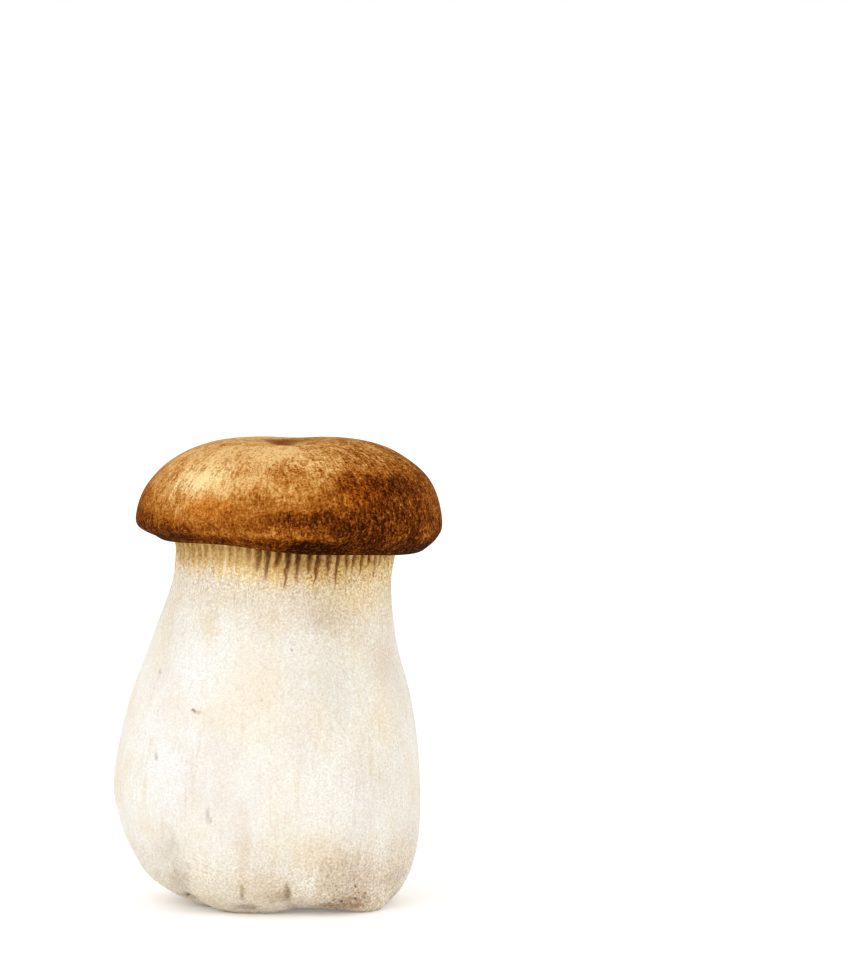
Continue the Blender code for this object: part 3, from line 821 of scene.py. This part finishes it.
# Streaks that run up from the cut, a darker line round its edge, and fine grains of earth.
streaks = times(flesh, fade(flesh, z, 11.0 * MM, 0.5 * MM), fade(flesh, coarse_fibres, 0.50, 0.72),
                fade(flesh, grey_clouds, 0.4, 0.6, 0.3, 1.0), 0.5)
flesh_colour = blend(flesh, streaks, flesh_colour, paint(160, 136, 110))
rim_height = add(flesh, z, sway(flesh, tooth, 0.4 * MM))
rim_line = fade(flesh, rim_height, 0.9 * MM, 0.1 * MM, 0.0, 0.25)
flesh_colour = blend(flesh, rim_line, flesh_colour, paint(150, 122, 90))
soiled_place = patch(flesh, place, (13.2, -18.0, 3.9), (6.0, 9.0, 5.5))
soiled = add(flesh, fade(flesh, warm_clouds, 0.5, 0.6, 0.0, 0.6), fade(flesh, soiled_place, 1.1, 0.4))
earth_grains = ((560.1, 0.20, 0.7), (980.0, 0.30, 0.6))
for per_metre, largest, amount in earth_grains:
    cells = {"Vector": place, "Scale": per_metre, "Randomness": 1.0}
    from_grain = node(flesh, "ShaderNodeTexVoronoi", cells).outputs["Distance"]
    earth = times(flesh, fade(flesh, from_grain, largest, largest / 2),
                  fade(flesh, z, 8.0 * MM, 1.0 * MM), soiled, fade(flesh, grit, 0.42, 0.54), amount)
    flesh_colour = blend(flesh, earth, flesh_colour, paint(112, 72, 34))

# Fibres, and the fine tooth of the surface.
fibre_share = fade(flesh, long_fibres, 0.5, 0.75, 0.0, 0.28)
flesh_colour = blend(flesh, fibre_share, flesh_colour, paint(196, 174, 146))
dark_tooth = fade(flesh, tooth, 0.48, 0.74, 0.0, 0.27)
flesh_colour = blend(flesh, dark_tooth, flesh_colour, paint(196, 172, 140))
pale_tooth = times(flesh, fade(flesh, tooth, 0.48, 0.30, 0.0, 0.35),
                   fade(flesh, z, 60.0 * MM, 54.0 * MM, 0.12, 1.0))
flesh_colour = blend(flesh, pale_tooth, flesh_colour, paint(238, 233, 220))

# A grain that is coarser near the gills, at the foot and to the right, and changes blue the most.
FLESH_LIGHTNESS = 0.965
RED_GREEN_BLUE_GRAIN = (0.65, 0.95, 1.35)
coarse = add(flesh, 0.13, fade(flesh, z, 44.0 * MM, 56.0 * MM, 0.0, 0.12),
             fade(flesh, z, 56.0 * MM, 61.0 * MM, 0.0, 0.31), fade(flesh, z, 17.0 * MM, 4.0 * MM, 0.0, 0.21))
coarse = times(flesh, coarse, fade(flesh, x, -9.0 * MM, 14.0 * MM, 0.80, 1.28))
change = times(flesh, add(flesh, sway(flesh, grain, 1.0), sway(flesh, tooth, 0.4)), coarse)
shares = [add(flesh, FLESH_LIGHTNESS, times(flesh, change, part)) for part in RED_GREEN_BLUE_GRAIN]
lightness = node(flesh, "ShaderNodeCombineXYZ", dict(zip("XYZ", shares))).outputs[0]
flesh_colour = node(flesh, "ShaderNodeVectorMath", {0: flesh_colour, 1: lightness},
                    operation="MULTIPLY").outputs[0]

# A hairline under the gills, small browned nicks, and a few larger grains of earth at the foot.
nick_brown = paint(132, 98, 66)
earth_brown = paint(96, 62, 34)
flesh_marks = (
    ((-12.4, -17.0, 61.6), (0.26, 3.0, 1.6), paint(160, 118, 62), 0.6),
    ((-15.7, -20.9, 37.1), (0.5, 3.0, 0.35), nick_brown, 0.75),
    ((-14.8, -21.5, 36.8), (0.7, 3.0, 0.5), nick_brown, 0.35),
    ((-22.4, -18.1, 28.6), (0.35, 3.0, 0.9), nick_brown, 0.4),
    ((-13.1, -24.5, 18.9), (0.5, 3.0, 1.5), nick_brown, 0.28),
    ((-12.5, -24.6, 18.0), (0.25, 3.0, 0.6), nick_brown, 0.35),
    ((1.7, -20.8, 47.8), (0.25, 3.0, 0.35), nick_brown, 0.5),
    ((-22.0, -12.4, 43.0), (0.25, 3.0, 0.5), nick_brown, 0.35),
    ((-3.5, -23.7, 39.2), (0.2, 3.0, 0.25), nick_brown, 0.4),
    ((12.8, -17.2, 3.0), (0.30, 3.0, 0.26), earth_brown, 0.8),
    ((12.8, -18.2, 5.4), (0.26, 3.0, 0.30), earth_brown, 0.8),
    ((11.2, -18.5, 4.0), (0.30, 3.0, 0.24), earth_brown, 0.7),
    ((13.4, -17.2, 4.1), (0.24, 3.0, 0.24), earth_brown, 0.7),
    ((14.6, -16.3, 3.9), (0.26, 3.0, 0.22), earth_brown, 0.6),
    ((10.4, -17.6, 2.6), (0.34, 3.0, 0.24), earth_brown, 0.8),
    ((8.3, -17.8, 2.4), (0.30, 3.0, 0.20), earth_brown, 0.6),
    ((-17.2, -11.0, 2.8), (0.32, 3.0, 0.26), earth_brown, 0.8),
    ((-15.9, -12.0, 2.1), (0.30, 3.0, 0.22), earth_brown, 0.7),
    ((13.6, -16.0, 1.9), (0.45, 3.0, 0.28), paint(172, 116, 26), 0.8),
)
for centre, size, colour, amount in flesh_marks:
    reach = add(flesh, patch(flesh, place, centre, size), sway(flesh, tooth, 0.4))
    flesh_colour = blend(flesh, fade(flesh, reach, 1.3, 0.3, 0.0, amount), flesh_colour, colour)

flesh_relief = add(flesh, times(flesh, tooth, 0.8), long_fibres, coarse_fibres)
flesh_bump = node(flesh, "ShaderNodeBump",
                  {"Strength": 0.6, "Distance": 0.25 * MM, "Height": flesh_relief}).outputs[0]
flesh.node_tree.links.new(flesh_colour, bare.inputs["Base Color"])
flesh.node_tree.links.new(flesh_bump, bare.inputs["Normal"])
flesh.node_tree.links.new(fade(flesh, tooth, 0.3, 0.7, 0.66, 0.84), bare.inputs["Roughness"])
bare.inputs["Specular IOR Level"].default_value = 0.12

# The skin ends at the margin's lowest line, and the flesh is bare from there on.
mushroom.data.materials.append(cap_skin)
mushroom.data.materials.append(flesh)
for polygon in mushroom.data.polygons:
    polygon.material_index = 0 if max(rows[i] for i in polygon.vertices) <= first_gill_row else 1


# The floor.
# A wide sheet of smooth white paper that the mushroom stands on. It glows a little, so that it stays
# white and the shadow on it stays faint.

FLOOR_WIDTH = 40.0
PAPER_GLOW = 0.12

bpy.ops.object.select_all(action="DESELECT")
bpy.ops.mesh.primitive_plane_add(size=FLOOR_WIDTH, location=(0.0, 0.0, 0.0))
floor = bpy.context.object
floor.name = "floor"
paper = bpy.data.materials.new("white_paper")
paper.use_nodes = True
sheet = paper.node_tree.nodes["Principled BSDF"]
sheet.inputs["Base Color"].default_value = (0.93, 0.93, 0.925, 1.0)
sheet.inputs["Roughness"].default_value = 0.9
sheet.inputs["Emission Color"].default_value = (1.0, 1.0, 1.0, 1.0)
sheet.inputs["Emission Strength"].default_value = PAPER_GLOW
floor.data.materials.append(paper)


# The light.
# A white room, a large soft lamp to the upper left of the viewer, and a weaker one to the right.

LAMPS_AIM = Vector((0.0, 0.0, 0.04))

world = bpy.data.worlds.new("studio")
bpy.context.scene.world = world
world.use_nodes = True
world.node_tree.nodes["Background"].inputs["Color"].default_value = (1.0, 1.0, 1.0, 1.0)
world.node_tree.nodes["Background"].inputs["Strength"].default_value = 1.0


def soft_lamp(location, width_degrees, strength):
    """A wide lamp that shines from a place towards the mushroom."""
    bpy.ops.object.light_add(type="SUN", location=location)
    lamp = bpy.context.object
    lamp.data.angle = math.radians(width_degrees)
    lamp.data.energy = strength
    lamp.rotation_euler = (LAMPS_AIM - lamp.location).to_track_quat("-Z", "Y").to_euler()


soft_lamp((-0.45, -0.6, 0.55), 50, 0.8)
soft_lamp((0.6, -0.5, 0.35), 60, 0.4)


# The camera.
# It looks a little down from far in front, where a pixel is 0.18 mm at the mushroom. The mushroom's
# axis stands on column 285 of the photograph, and its cut on row 903.4.

PIXEL = 0.18
PHOTO_WIDTH = 850
PHOTO_HEIGHT = 962
AXIS_COLUMN = 285
CUT_ROW = 903.4
LENS = 200.0
SENSOR = 36.0
TILT = math.radians(4.0)

bpy.ops.object.camera_add()
camera = bpy.context.object
camera.data.lens = LENS
camera.data.sensor_width = SENSOR
distance = PHOTO_HEIGHT * PIXEL * MM * LENS / SENSOR
aim_x = (PHOTO_WIDTH / 2 - AXIS_COLUMN) * PIXEL * MM
aim_z = (CUT_ROW - PHOTO_HEIGHT / 2) * PIXEL * MM / math.cos(TILT)
camera.location = Vector((aim_x, 0.0, aim_z)) + Vector((
    0.0, -distance * math.cos(TILT), distance * math.sin(TILT)))
camera.rotation_euler = (math.radians(90) - TILT, 0.0, 0.0)
bpy.context.scene.camera = camera
bpy.context.scene.view_settings.view_transform = "Standard"
